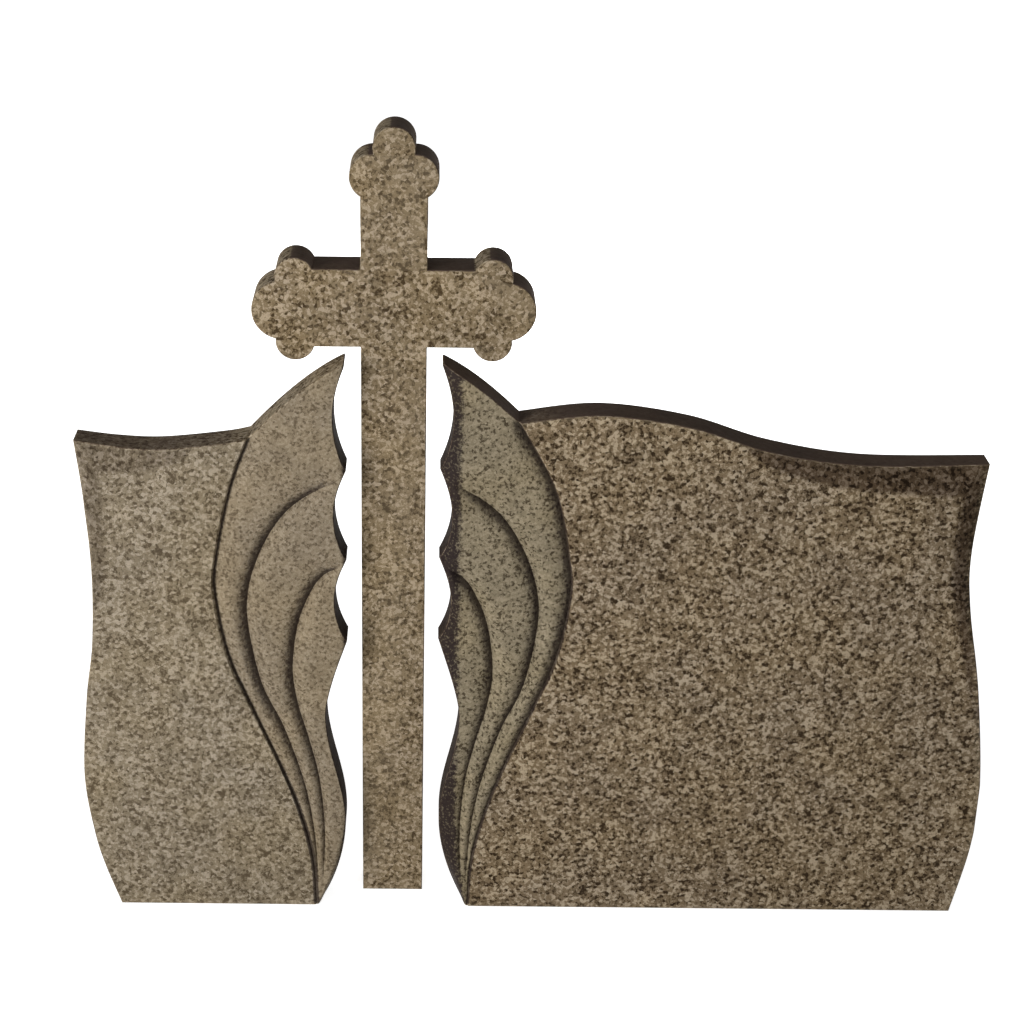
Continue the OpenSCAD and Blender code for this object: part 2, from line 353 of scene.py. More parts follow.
def chamfer_depth(points, stone, top, side):
    """A slope at the outer top corner that dies away along the top and down the side.

    Depth is the slope times how far a point lies inside a strip along the edge; the strip's width
    grows towards the corner as share^0.8. The second result is how much painted shade the band
    along
    it gets: that strip is wider, and grows as share^0.25 along the top and share^0.35 up the side.
    """
    x, z = points[..., 0], points[..., 1]
    corner = side[-1]
    x0 = top[0, 0] + stone["chamfer_run"][0] * (corner[0] - top[0, 0])
    z0 = stone["chamfer_run"][1] * corner[1]
    w_top = stone["chamfer"] * np.clip((x - x0) / (corner[0] - x0), 0, 1) ** chamfer_fade
    w_side = stone["chamfer"] * np.clip((z - z0) / (corner[1] - z0), 0, 1) ** chamfer_fade
    below = np.interp(x, top[:, 0], top[:, 1]) - z
    inside = np.interp(z, side[:, 1], side[:, 0]) - x
    reach = np.maximum(np.clip(w_top - below, 0, None), np.clip(w_side - inside, 0, None))
    top_from, side_from = x0 - band_lead, z0 * band_low
    dark_top = band_top * np.clip((x - top_from) / (corner[0] - top_from), 0, 1) ** 0.25
    dark_side = band_side * np.clip((z - side_from) / (corner[1] - side_from), 0, 1) ** 0.35
    dark = np.maximum(dark_top - below, dark_side - inside) / band_fade
    return chamfer_slope * reach, np.clip(dark, 0, 1)


def joined(*depths):
    """Soft maximum of several depths: the cube root of the sum of their cubes."""
    return np.cbrt(sum(np.maximum(d, 0) ** 3 for d in depths))


# ---------------------------------------------------------------- meshes
# what each point carries: honed feather, painted shade and gloss on the roll, painted shade in
# hollows, worn arris, painted shade on walls and painted shade on the chamfer's band
MASKS = ("honed", "roll_shade_and_gloss", "hollow_shade", "edge", "wall_shade", "corner_shade")
# material slots of every stone
FACE, EDGE, BACK = 0, 1, 2


def inset(loop, amount):
    """A closed loop moved inwards along its own normals; the loop runs clockwise."""
    step = np.roll(loop, -1, axis=0) - loop
    step /= np.maximum(np.hypot(*step.T), 1e-9)[:, None]
    mean = step + np.roll(step, 1, axis=0)
    mean /= np.maximum(np.hypot(*mean.T), 1e-6)[:, None]
    normal = np.column_stack([mean[:, 1], -mean[:, 0]])
    return loop + normal * amount


class Shell:
    """Gathers grids and rings of points into one closed mesh with per-face materials."""

    def __init__(self):
        self.points, self.faces, self.slots, self.masks = [], [], [], []
        self.count = 0

    def add(self, points, masks):
        """Takes in points with their masks, and gives the first one's number."""
        self.points.append(points.reshape(-1, 3))
        self.masks.append(masks.reshape(-1, masks.shape[-1]))
        start = self.count
        self.count += len(self.points[-1])
        return start

    def grid(self, points, masks, slot, closed=False):
        """Faces between the rows of a grid; rows wrap round where the grid is a closed ring."""
        rows, cols = points.shape[:2]
        start = self.add(points, masks)
        index = start + np.arange(rows * cols).reshape(rows, cols)
        right = np.roll(index, -1, axis=1) if closed else index[:, 1:]
        left = index if closed else index[:, :-1]
        quads = np.stack([left[:-1], right[:-1], right[1:], left[1:]], axis=-1).reshape(-1, 4)
        self.faces += quads.tolist()
        self.slots += [slot] * len(quads)

    def sheet(self, loop, masks, slot):
        """One flat face across a closed loop."""
        start = self.add(loop, masks)
        self.faces.append(list(range(start, start + len(loop))))
        self.slots.append(slot)

    def build(self, name, hand, materials):
        """The finished piece: seams welded, normals outward, arrises sharp, masks as attributes."""
        points = np.vstack(self.points)
        points[:, 0] = middle_x + hand * points[:, 0]
        mesh = bpy.data.meshes.new(name)
        mesh.from_pydata(points.tolist(), [], self.faces)
        mesh.polygons.foreach_set("material_index", self.slots)
        masks = np.vstack(self.masks)
        for k, label in enumerate(MASKS):
            layer = mesh.attributes.new(label, "FLOAT", "POINT")
            layer.data.foreach_set("value", np.ascontiguousarray(masks[:, k], dtype=np.float32))
        for material in materials:
            mesh.materials.append(material)
        bm = bmesh.new()
        bm.from_mesh(mesh)
        bmesh.ops.remove_doubles(bm, verts=bm.verts, dist=2e-5)
        bmesh.ops.dissolve_degenerate(bm, edges=bm.edges, dist=1e-6)
        bmesh.ops.recalc_face_normals(bm, faces=bm.faces)
        bm.to_mesh(mesh)
        bm.free()
        mesh.polygons.foreach_set("use_smooth", [True] * len(mesh.polygons))
        mesh.set_sharp_from_angle(angle=math.radians(38))
        piece = bpy.data.objects.new(name, mesh)
        bpy.context.scene.collection.objects.link(piece)
        return piece


def wall_rings(loop, inner, front, back, steps=5):
    """Rings from the front arris round to the back: a fine chamfer, straight rows, a chamfer."""
    rows = [np.column_stack([inner[:, 0], front, inner[:, 1]])]
    for k in range(steps):
        y = front + arris + (back - arris - front - arris) * k / (steps - 1)
        rows.append(np.column_stack([loop[:, 0], y, loop[:, 1]]))
    rows.append(np.column_stack([inner[:, 0], np.full(len(loop), back), inner[:, 1]]))
    return np.stack(rows)


def close_walls(shell, rings, loop, dark_top, hand=1, dark_inner=0.0, inner_count=0):
    """The arrises, the walls and the flat back, with a mask of painted shade on the walls.

    The loop runs clockwise, so its step along x is how far the wall looks up, and its step
    down is how far it looks outward. Painted shade darkens walls that look 0.55 up + 0.85 to the
    right, away from the light, and fades on walls that stand upright.
    """
    step = np.roll(loop, -1, axis=0) - np.roll(loop, 1, axis=0)
    step /= np.maximum(np.hypot(*step.T), 1e-9)[:, None]
    up, right = step[:, 0], -hand * step[:, 1]
    wall_shade = ramp(0.55 * up + 0.85 * right, 0.28, 0.5) * ramp(up, -0.15, 0.35) * dark_top
    # walls of the inner edge: painted shade, and at 2 a darker painted shadow
    wall_shade[:inner_count] = dark_inner
    masks = np.zeros((len(rings), len(loop), len(MASKS)))
    masks[..., MASKS.index("wall_shade")] = wall_shade
    worn = masks.copy()
    worn[..., MASKS.index("edge")] = 1
    shell.grid(rings[:2], worn[:2], EDGE, closed=True)
    shell.grid(rings[1:-1], masks[1:-1], EDGE, closed=True)
    shell.grid(rings[-2:], worn[-2:], EDGE, closed=True)
    shell.sheet(rings[-1], np.zeros((len(loop), len(MASKS))), BACK)


# ---------------------------------------------------------------- tablets
# rows up the whole front, and how many of them lie beside the middle and the upper feather
ROWS = 250
MID = 52
HIGH = 72
LINE_STEPS = 16
SIDE_STEPS = 12
# the panel's place among the patches, and the outline's runs that border it: top, side and foot
PANEL = 3
PANEL_RUNS = (4, 5, 6)


def tablet(stone, materials):
    """One closed tablet, its front laid in four patches: three feathers and the panel."""
    corner_z = stone["height"]
    side = np.array(stone["side"], float)
    side = np.column_stack([tip_x + stone["width"] - side[:, 0], side[:, 1] * corner_z])
    side = smooth_curve(side, SIDE_STEPS)
    side[:, 0] = np.minimum(side[:, 0], tip_x + stone["width"])
    side = side[::-1]
    corner = side[-1]
    wing = wing_top_curve(stone["shoulder"])
    shoulder = wing[-1]
    shares = np.array(stone["top"], float)
    top = np.column_stack([
        shoulder[0] + (corner[0] - shoulder[0]) * shares[:, 0],
        corner[1] + stone["rise"] * shares[:, 1],
    ])
    top = smooth_curve(np.vstack([shoulder, top]), LINE_STEPS)
    edge = inner_edge()

    # the lines, each run on below the ground so that it meets the ground smoothly
    lead = shoulder + (shoulder - on_wing(groove_line)[0]) * groove_lead
    groove = smooth_curve(np.vstack([lead, shoulder, run_on(groove_line)]), LINE_STEPS)
    groove = groove[LINE_STEPS:-LINE_STEPS][::-1]
    outer = smooth_curve(run_on(outer_furrow), LINE_STEPS)[:-LINE_STEPS]
    inner = smooth_curve(run_on(inner_furrow), LINE_STEPS)[:-LINE_STEPS]
    outer = cut_at_edge(outer, edge)[::-1]
    inner = cut_at_edge(inner, edge)[::-1]

    low_edge = part_of(edge, 0, inner[-1, 1])
    mid_edge = part_of(edge, inner[-1, 1], outer[-1, 1])
    high_edge = part_of(edge, outer[-1, 1], wing_h)
    tips = [s * wing_h for s in tip_shares]

    # rows up each line; the lines' rows and the edge's rows above them add up alike
    v_low = snapped(np.linspace(0, 1, ROWS - MID + 1), [share_at(low_edge, tips[2])])
    v_mid = snapped(np.linspace(0, 1, MID), [share_at(mid_edge, tips[1])])
    v_high = snapped(np.linspace(0, 1, HIGH), [share_at(high_edge, tips[0])])
    v = np.linspace(0, 1, ROWS)
    # shares across the three feathers, from the inner edge outward, and across the panel, where
    # they crowd towards the groove
    u_c, u_b, u_a = crowded(34), crowded(36), crowded(64, 0.7)
    u_p = np.linspace(0, 1, 96) ** stone["crowd"]

    low = np.array([[p[0, 0], 0.0] for p in (edge, inner, outer, groove, side)])
    bottoms = [
        low[k] + (low[k + 1] - low[k]) * u[:, None] for k, u in enumerate((u_c, u_b, u_a, u_p))
    ]
    lines = [spaced(inner, v_low), spaced(outer, v), spaced(groove, v)]

    # the outline as one closed loop: up the inner edge, over the top, down the side, back along
    runs = [spaced(low_edge, v_low), spaced(mid_edge, v_mid), spaced(high_edge, v_high),
            spaced(wing, np.linspace(0, 1, HIGH)), spaced(top, u_p), spaced(side, v)[::-1]]
    pieces = [run[:-1] for run in runs + [b[::-1] for b in bottoms[::-1]]]
    loop = np.vstack(pieces)
    rim = inset(loop, arris)
    stops = np.cumsum([0] + [len(p) for p in pieces])
    wrap = np.vstack([rim, rim[:1]])
    parts = [wrap[a:b + 1] for a, b in zip(stops[:-1], stops[1:])]
    edge_low, edge_mid, edge_high, wing_in, top_in = parts[:5]
    side_in = parts[5][::-1]
    bottom_p, bottom_a, bottom_b, bottom_c = (p[::-1] for p in parts[6:])
    inner_in = moved_ends(lines[0], bottom_b[0], edge_mid[0], v_low)
    outer_in = moved_ends(lines[1], bottom_a[0], edge_high[0], v)
    groove_in = moved_ends(lines[2], bottom_p[0], top_in[0], v)

    def leaf(near, far, bottom, u):
        """A patch between two lines that meet at the top."""
        rows = np.linspace(0, 1, len(near))
        return patch(near, far, bottom, np.repeat(near[-1:], len(u), axis=0), u, rows)

    flats = [
        leaf(edge_low, inner_in, bottom_c, u_c),
        leaf(np.vstack([inner_in, edge_mid[1:]]), outer_in, bottom_b, u_b),
        leaf(np.vstack([outer_in, edge_high[1:]]),
             np.vstack([groove_in, wing_in[::-1][1:]]), bottom_a, u_a),
        patch(groove_in, side_in, bottom_p, top_in, u_p, v),
    ]

    shaded_flanks = stone["shaded_flanks"]
    flank_shade_lines = ((inner_in, inner_fade), (outer_in, outer_fade), (groove_in, 0.0))

    def carved(points, which):
        """Depth behind the front plane, with the masks that the finish and the painted shade
        follow.
        """
        on_panel = which == PANEL
        z = points[..., 1]
        far = distance(points, groove_in)
        if on_panel:
            s = np.clip(1 - far / (groove_wall * np.maximum(narrowing(z), 0.5)), 0, 1)
            groove_share = s**1.3
        else:
            s = np.clip(1 - far / (feather_round * np.maximum(narrowing(z), 0.22)), 0, 1)
            groove_share = s**2.4
        cut = groove_d * shallowing(z) * groove_share
        roll, start = roll_depth(points, stone["roll_w"], stone["roll_d"])
        furrows = [
            furrow_depth(points, line, furrow_d, feather_round, fade)
            for line, fade in ((outer_in, outer_fade), (inner_in, inner_fade))
        ]
        if on_panel:
            slope, band = chamfer_depth(points, stone, top, side)
            depth = joined(cut, roll, slope, *(f * ramp(far, 0.006, 0) for f in furrows))
        else:
            depth, band = joined(cut, *furrows, roll), np.zeros(z.shape)
        honed = np.full(z.shape, 0.0 if on_panel else 1.0)
        # painted shade: a thin dark line in the groove, wider low down, and shade in and beside the
        # furrows
        low_down = ramp(z, 0.35, 0.10) * stone["dark_foot"]
        groove_shade = ramp(far, 0.0045 + 0.004 * low_down, 0.0005 + 0.003 * low_down)
        hollow_shade = np.maximum(groove_share, groove_shade) if on_panel else np.maximum(
            0.3 * groove_share, groove_shade * (0.7 + 0.3 * low_down))
        hollow_shade = np.maximum(hollow_shade, 0.35 * np.maximum(*furrows) / furrow_d)
        # painted shade along one flank of a line, the flank that faces away from the light
        if which in shaded_flanks:
            line, fade = flank_shade_lines[shaded_flanks[which]]
            flank_shade = furrow_depth(points, line, 1.0, flank_shade_w, fade + 1e-4) ** 0.5
            hollow_shade = np.maximum(hollow_shade, flank_shade)
        # worn along the outline; painted shade beyond the start of the roll and on the chamfer's
        # band
        edge_mask = ramp(distance(points, np.vstack([loop, loop[:1]])), 0.007, 0.001)
        beyond = np.clip((start + stone["dark_from"] - points[..., 0]) / stone["dark_fade"], 0, 1)
        corner_shade = band * stone["dark_chamfer"]
        no_wall_shade = np.zeros(z.shape)
        masks = [honed, beyond * stone["dark_roll"], hollow_shade, edge_mask, no_wall_shade, corner_shade]
        return depth, np.stack(masks, axis=-1)

    shell = Shell()
    for k, flat in enumerate(flats):
        depth, masks = carved(flat, k)
        points = np.stack([flat[..., 0], front_y + depth, flat[..., 1]], axis=-1)
        shell.grid(points, masks, FACE)
    shore = np.concatenate([
        carved(part, PANEL if k in PANEL_RUNS else None)[0][:-1] for k, part in enumerate(parts)])
    rings = wall_rings(loop, rim, front_y + shore, front_y + slab_t)
    inner_count = sum(len(p) for p in pieces[:3])
    close_walls(shell, rings, loop, stone["dark_top"], stone["hand"], stone["dark_inner"],
                inner_count)
    return shell.build(stone["name"], stone["hand"], materials)


# ---------------------------------------------------------------- cross
def cross_loop():
    """The cross's outline, clockwise from its crown: arcs of the buds joined by straight runs."""
    head_z = cross_hi.z - head_bud_r
    end_x = (cross_hi.x - cross_lo.x) / 2 - end_bud_r
    bar_top = bar_z + bar_h
    side_x = end_x - side_bud_in
    cheek = (shaft_w / 2 - cheek_in, head_z - cheek_drop, cheek_bud_r)
    head = (0.0, head_z, head_bud_r)
    upper = (side_x, bar_top - side_bud_drop, side_bud_r)
    end = (end_x, bar_z + bar_h / 2 - end_drop, end_bud_r)
    lower = (side_x, bar_z + side_bud_lift, side_bud_r)

    def meet(a, b, outer):
        """Where two circles cross; the crossing further towards `outer` is the one kept."""
        d = np.array(b[:2]) - np.array(a[:2])
        gap = np.hypot(*d)
        along = (gap**2 + a[2]**2 - b[2]**2) / (2 * gap)
        up = math.sqrt(max(a[2]**2 - along**2, 0))
        base = np.array(a[:2]) + d / gap * along
        side_step = np.array([-d[1], d[0]]) / gap * up
        pair = [base + side_step, base - side_step]
        return max(pair, key=lambda p: float(np.dot(p, outer)))

    def arc(circle, start, stop, step=0.0015):
        """Clockwise arc of a circle from one point to another."""
        x, z, radius = circle
        a0 = math.atan2(start[1] - z, start[0] - x)
        a1 = math.atan2(stop[1] - z, stop[0] - x)
        turn = (a0 - a1) % (2 * math.pi)
        n = max(int(turn * radius / step), 2)
        a = a0 - turn * np.linspace(0, 1, n)
        return np.column_stack([x + radius * np.cos(a), z + radius * np.sin(a)])

    def run(a, b, step=0.004):
        """Straight steps between two points, without either end."""
        n = max(int(np.hypot(*(np.array(b) - a)) / step), 2)
        t = np.arange(1, n) / n
        return np.column_stack([a[0] + (b[0] - a[0]) * t, a[1] + (b[1] - a[1]) * t])

    half = shaft_w / 2
    crown = np.array([0.0, head[1] + head[2]])
    head_cheek = meet(head, cheek, (1, 1))
    neck = np.array([half, cheek[1] - math.sqrt(cheek[2]**2 - (half - cheek[0])**2)])
    bar_root = np.array([half, bar_top])
    bar_bud = np.array([upper[0] - math.sqrt(upper[2]**2 - (bar_top - upper[1])**2), bar_top])
    upper_end = meet(upper, end, (1, 1))
    end_lower = meet(end, lower, (1, -1))
    under_bud = np.array([lower[0] - math.sqrt(lower[2]**2 - (bar_z - lower[1])**2), bar_z])
    under_root = np.array([half, bar_z])
    foot_corner = np.array([half, 0.0])
    right = np.vstack([
        arc(head, crown, head_cheek)[:-1], arc(cheek, head_cheek, neck),
        run(neck, bar_root), [bar_root], run(bar_root, bar_bud),
        arc(upper, bar_bud, upper_end)[:-1], arc(end, upper_end, end_lower)[:-1],
        arc(lower, end_lower, under_bud), run(under_bud, under_root), [under_root],
        run(under_root, foot_corner), [foot_corner],
    ])
    left = right[1:][::-1] * (-1, 1)
    return np.vstack([right, run(right[-1], left[0]), left])


def cross(materials):
    """One closed solid: fronts and backs inside fine arrises, with straight walls between."""
    loop = cross_loop()
    shell = Shell()
    rings = wall_rings(loop, inset(loop, arris), np.full(len(loop), cross_lo.y), cross_hi.y)
    # painted shade on the cross's walls that look up and to the right
    close_walls(shell, rings, loop, dark_top=1.0)
    shell.sheet(rings[0], np.zeros((len(loop), len(MASKS))), FACE)
    return shell.build("cross_stone", 1, materials)


# ---------------------------------------------------------------- granite
def srgb(r, g, b):
    """An 0-255 display colour as scene-linear."""
    c = np.array([r, g, b]) / 255
    c = np.where(c <= 0.04045, c / 12.92, ((c + 0.055) / 1.055) ** 2.4)
    return (*c.tolist(), 1.0)


class Nodes:
    """Short calls for adding and joining nodes in one tree."""

    def __init__(self, tree):
        self.tree = tree

    def add(self, kind, values=None, **settings):
        """A node with its settings; each value is joined if it is a socket, else set."""
        node = self.tree.nodes.new(kind)
        for key, value in settings.items():
            setattr(node, key, value)
        for key, value in (values or {}).items():
            if isinstance(value, bpy.types.NodeSocket):
                self.tree.links.new(value, node.inputs[key])
            else:
                node.inputs[key].default_value = value
        return node

    def math(self, operation, a, b=0.0):
        """One operation on two numbers."""
        return self.add("ShaderNodeMath", {0: a, 1: b}, operation=operation).outputs[0]

    def noise(self, where, scale, detail=2.0, rough=0.5):
        """Cloudy noise about 0.5, with `scale` clouds to the metre."""
        values = {"Vector": where, "Scale": scale, "Detail": detail, "Roughness": rough}
        return self.add("ShaderNodeTexNoise", values).outputs["Fac"]

    def step(self, value, low, high):
        """0 below low, 1 above high, smooth between."""
        node = self.add("ShaderNodeMapRange", {0: value, 1: low, 2: high},
                        interpolation_type="SMOOTHSTEP")
        return node.outputs[0]

    def mix(self, share, a, b, blend="MIX"):
        """Colour a going over to colour b."""
        values = {0: share, 6: a, 7: b}
        return self.add("ShaderNodeMix", values, data_type="RGBA", blend_type=blend).outputs[2]

    def blend(self, share, a, b):
        """Number a going over to number b."""
        return self.add("ShaderNodeMix", {0: share, 2: a, 3: b}, data_type="FLOAT").outputs[0]

    def shaded(self, colour, level):
        """A colour times one level in red, green and blue."""
        grey = self.add("ShaderNodeCombineColor", {0: level, 1: level, 2: level}).outputs[0]
        return self.mix(1.0, colour, grey, "MULTIPLY")


def new_group(name, inputs, outputs):
    """An empty node group with its sockets, and what it is given and gives out."""
    tree = bpy.data.node_groups.new(name, "ShaderNodeTree")
    for label, kind, value in inputs:
        socket = tree.interface.new_socket(name=label, in_out="INPUT", socket_type=kind)
        if value is not None:
            socket.default_value = value
    for label, kind in outputs:
        tree.interface.new_socket(name=label, in_out="OUTPUT", socket_type=kind)
    n = Nodes(tree)
    return n, n.add("NodeGroupInput").outputs, n.add("NodeGroupOutput").inputs


def speckle_group():
    """Granite crystals: dark mica in clumps and pale feldspar on a tan ground, finely dusted.

    Clouds, larger clouds and cells add up as 0.56 + 0.20 + 0.24; mica is where the sum is low,
    and feldspar where it is high.
    """
    colour, number, vector = "NodeSocketColor", "NodeSocketFloat", "NodeSocketVector"
    n, given, out = new_group(
        "granite speckle",
        [("Place", vector, None), ("Grain", number, 150.0), ("Dark", colour, None),
         ("Ground", colour, None), ("Pale", colour, None), ("Contrast", number, 1.0)],
        [("Colour", colour), ("Height", number)],
    )
    place, grain = given["Place"], given["Grain"]
    crystals = n.noise(place, grain, 3.5, 0.62)
    clumps = n.noise(place, n.math("MULTIPLY", grain, 0.34), 2.0, 0.55)
    cell_scale = n.math("MULTIPLY", grain, 1.2)
    cells = n.add("ShaderNodeTexVoronoi", {"Vector": place, "Scale": cell_scale})
    tone = n.add("ShaderNodeSeparateColor", {0: cells.outputs["Color"]}).outputs[0]
    mixed = n.math("ADD", n.math("MULTIPLY", crystals, 0.56), n.math("MULTIPLY", clumps, 0.20))
    mixed = n.math("ADD", mixed, n.math("MULTIPLY", tone, 0.24))
    mica = n.math("SUBTRACT", 1.0, n.step(mixed, 0.36, 0.49))
    pale = n.step(mixed, 0.51, 0.63)
    fine = n.noise(place, n.math("MULTIPLY", grain, 4.0), 1.0, 0.5)
    ground = n.mix(n.math("MULTIPLY", pale, given["Contrast"]), given["Ground"], given["Pale"])
    body = n.mix(n.math("MULTIPLY", mica, given["Contrast"]), ground, given["Dark"])
    body = n.shaded(body, n.math("ADD", n.math("MULTIPLY", fine, 0.55), 0.725))
    n.tree.links.new(body, out["Colour"])
    n.tree.links.new(mixed, out["Height"])
    return n.tree


def drift_group():
    """Slow change of tint over a slab, in two directions of colour."""
    colour, vector = "NodeSocketColor", "NodeSocketVector"
    n, given, out = new_group(
        "slab drift", [("Place", vector, None), ("Colour", colour, None)], [("Colour", colour)]
    )
    warm = n.step(n.noise(given["Place"], 9.0, 2.0), 0.35, 0.65)
    tinted = n.mix(warm, (1.015, 1.0, 0.965, 1), (0.99, 0.995, 1.02, 1))
    shade = n.step(n.noise(given["Place"], 24.0, 3.0), 0.3, 0.7)
    body = n.mix(1.0, given["Colour"], tinted, "MULTIPLY")
    n.tree.links.new(n.shaded(body, n.blend(shade, 0.93, 1.06)), out["Colour"])
    return n.tree


SPECKLE = speckle_group()
DRIFT = drift_group()


def new_material(name):
    """A material with nothing on its shader yet, and the object's own coordinates."""
    material = bpy.data.materials.new(name)
    material.use_nodes = True
    material.node_tree.nodes.clear()
    n = Nodes(material.node_tree)
    surface = n.add("ShaderNodeBsdfPrincipled")
    n.tree.links.new(surface.outputs[0], n.add("ShaderNodeOutputMaterial").inputs[0])
    return material, n, surface, n.add("ShaderNodeTexCoord").outputs["Object"]


def mask_values(n, *labels):
    """What the named masks of the mesh hold at each point."""
    return [n.add("ShaderNodeAttribute", attribute_name=label).outputs["Fac"] for label in labels]


def speckle(n, place, grain, dark, ground, pale, contrast):
    """The granite group with one stone's colours; the grain is in crystals to the metre."""
    values = {"Place": place, "Grain": grain, "Dark": dark, "Ground": ground, "Pale": pale,
              "Contrast": contrast}
    return n.add("ShaderNodeGroup", values, node_tree=SPECKLE).outputs


def finish(n, surface, place, colour, rough, height, bump_mm, specular):
    """Puts the drifted colour, the roughness and a fine bump on the shader."""
    drift = n.add("ShaderNodeGroup", {"Place": place, "Colour": colour}, node_tree=DRIFT)
    n.tree.links.new(drift.outputs["Colour"], surface.inputs["Base Color"])
    n.tree.links.new(rough, surface.inputs["Roughness"])
    bump = n.add("ShaderNodeBump", {"Height": height, "Strength": 1.0, "Distance": bump_mm / 1000})
    n.tree.links.new(bump.outputs[0], surface.inputs["Normal"])
    surface.inputs["Specular IOR Level"].default_value = specular


# crystals to the metre
FRONT_GRAIN = 160.0
HONED_GRAIN = 200.0
EDGE_GRAIN = 150.0
BACK_GRAIN = 130.0
# what the painted shade on the chamfer's band takes from a stone's colour
SHADE_FILTER = (0.40, 0.37, 0.37, 1)


def face_granite(name, contrast, dark, ground, pale, wing_ground, wing_pale, shade_tone):
    """Front of a stone: coarse grain, honed feathers, and painted shade on the inner roll, in the
    hollows and on the band at the outer top corner.
    """
    material, n, surface, place = new_material(name)
    honed, roll_shade_and_gloss, hollow_shade, edge, corner_shade = mask_values(n, "honed", "roll_shade_and_gloss", "hollow_shade", "edge", "corner_shade")
    coarse = speckle(n, place, FRONT_GRAIN, dark, ground, pale, contrast)
    fine = speckle(n, place, HONED_GRAIN, dark, wing_ground, wing_pale, 0.85 * contrast)
    colour = n.mix(honed, coarse["Colour"], fine["Colour"])
    height = n.blend(honed, coarse["Height"], fine["Height"])
    # painted shade in the hollows and beside the furrows, with ragged borders
    patches = n.blend(n.noise(place, 150.0, 3.0, 0.65), -0.55, 0.55)
    painted_shade = n.step(n.math("ADD", hollow_shade, patches), 0.22, 0.85)
    painted_shade = n.math("MULTIPLY", painted_shade, n.step(hollow_shade, 0.02, 0.25))
    colour = n.mix(n.math("MULTIPLY", painted_shade, 0.82), colour, shade_tone)
    # painted shade and gloss on the roll, torn into specks where it begins; its arris doesn't rub
    # pale
    torn = n.math("ADD", n.math("MULTIPLY", roll_shade_and_gloss, 1.3),
                  n.blend(n.noise(place, 160.0, 3.0, 0.7), -0.75, 0.75))
    shade_and_gloss = n.step(torn, 0.28, 0.78)
    shade_and_gloss = n.math("MULTIPLY", shade_and_gloss, n.step(roll_shade_and_gloss, 0.0, 0.2))
    worn = n.math("MULTIPLY", edge, n.blend(shade_and_gloss, 0.2, 0.0))
    colour = n.mix(worn, colour, wing_pale)
    specks = n.step(n.noise(place, 240.0, 2.0), 0.52, 0.68)
    cover = n.math("MULTIPLY", shade_and_gloss, n.blend(specks, 0.97, 0.62))
    colour = n.mix(cover, colour, shade_tone)
    # painted shade on the band along the chamfer
    ragged = n.blend(n.noise(place, 120.0, 3.0, 0.7), -0.4, 0.4)
    corner_shade_share = n.step(n.math("ADD", corner_shade, ragged), 0.0, 0.9)
    corner_shade_share = n.math("MULTIPLY", corner_shade_share, n.step(corner_shade, 0.0, 0.25))
    colour = n.mix(corner_shade_share, colour, n.mix(1.0, colour, SHADE_FILTER, "MULTIPLY"))
    rough = n.blend(honed, 0.72, 0.6)
    rough = n.blend(shade_and_gloss, rough, 0.5)
    finish(n, surface, place, colour, rough, height, 0.5, 0.03)
    return material


def edge_granite(name, dark, ground, pale, wall_shade_tone, shadow_tone):
    """Sides of a stone: rubbed smooth, with painted shade where the mask is 1 and a darker painted
    shadow where it is 2.
    """
    material, n, surface, place = new_material(name)
    wall_shade, = mask_values(n, "wall_shade")
    grain = speckle(n, place, EDGE_GRAIN, dark, ground, pale, 0.9)
    # painted shade on the walls, with ragged borders
    ragged = n.math("MULTIPLY", n.noise(place, 110.0, 3.0, 0.7), 0.5)
    patchy = n.math("ADD", wall_shade, ragged)
    wall_shade_share = n.math("MULTIPLY", n.step(patchy, 0.3, 1.1), n.step(wall_shade, 0.0, 0.1))
    painted_shade = n.mix(n.step(wall_shade, 1.0, 2.0), wall_shade_tone, shadow_tone)
    colour = n.mix(n.math("MULTIPLY", wall_shade_share, 0.92), grain["Colour"], painted_shade)
    rough = n.blend(n.noise(place, 60.0, 2.0), 0.48, 0.62)
    finish(n, surface, place, colour, rough, grain["Height"], 0.12, 0.004)
    return material


def back_granite(name, dark, ground, pale):
    """Back of a stone: plain sawn, with faint level saw lines."""
    material, n, surface, place = new_material(name)
    grain = speckle(n, place, BACK_GRAIN, dark, ground, pale, 0.7)
    lines = n.add("ShaderNodeMapping", {"Vector": place, "Scale": (0.6, 1.0, 90.0)}).outputs[0]
    saw = n.noise(lines, 4.0, 3.0, 0.6)
    height = n.math("ADD", n.math("MULTIPLY", grain["Height"], 0.6), n.math("MULTIPLY", saw, 0.8))
    rough = n.blend(saw, 0.66, 0.8)
    finish(n, surface, place, grain["Colour"], rough, height, 0.35, 0.2)
    return material


# dark colour of painted shade and painted shadow: on the roll, in the hollows and on inner walls
shade_dark = srgb(42, 34, 33)
# the last two colours are painted shade on the walls and painted shadow on the inner walls
edge_stone = edge_granite(
    "rubbed edge granite", dark=srgb(62, 49, 36), ground=srgb(132, 118, 96),
    pale=srgb(166, 152, 130), wall_shade_tone=srgb(86, 72, 64), shadow_tone=shade_dark)
back_stone = back_granite(
    "sawn back granite", dark=srgb(66, 54, 42), ground=srgb(128, 115, 95), pale=srgb(158, 145, 124))
left_front = face_granite(
    "left front granite", 0.74, dark=srgb(60, 48, 34), ground=srgb(126, 114, 94),
    pale=srgb(166, 154, 135), wing_ground=srgb(129, 116, 96), wing_pale=srgb(152, 140, 120),
    shade_tone=shade_dark)
cross_front = face_granite(
    "cross front granite", 0.87, dark=srgb(54, 41, 26), ground=srgb(124, 108, 83),
    pale=srgb(170, 154, 131), wing_ground=srgb(130, 114, 90), wing_pale=srgb(150, 136, 113),
    shade_tone=shade_dark)
